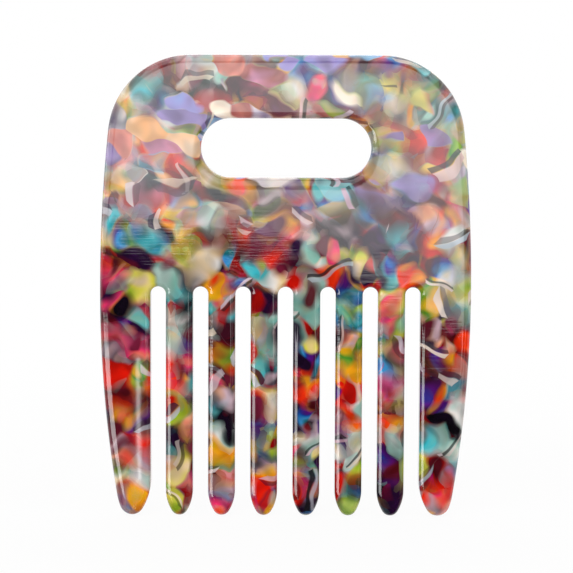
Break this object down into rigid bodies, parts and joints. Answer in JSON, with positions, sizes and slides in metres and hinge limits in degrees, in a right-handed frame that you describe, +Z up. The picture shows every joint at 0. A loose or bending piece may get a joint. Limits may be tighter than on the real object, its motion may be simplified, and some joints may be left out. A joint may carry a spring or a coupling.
{
  "type": "wide-tooth comb",
  "caption": "Flat hair comb with a rounded back, a stadium-shaped grip slot, widely spaced teeth with bullet tips and broader guard teeth at both ends, cut from marbled acetate sheet.",
  "frame": {"origin": "middle of the grip slot, halfway through the sheet's thickness", "axes": "+Z up from the tooth tips to the back of the comb, -Y out of the front face, X along the row of teeth"},
  "size_m": [0.0806, 0.005, 0.1],
  "materials": {
    "acetate": "polished cellulose acetate sheet made of pressed chips in many colours"
  },
  "bodies": {
    "root": {"handle": "acetate", "end_tooth_left": "acetate", "inner_tooth_1": "acetate", "inner_tooth_2": "acetate", "inner_tooth_3": "acetate", "inner_tooth_4": "acetate", "inner_tooth_5": "acetate", "inner_tooth_6": "acetate", "end_tooth_right": "acetate"}
  },
  "joints": []
}
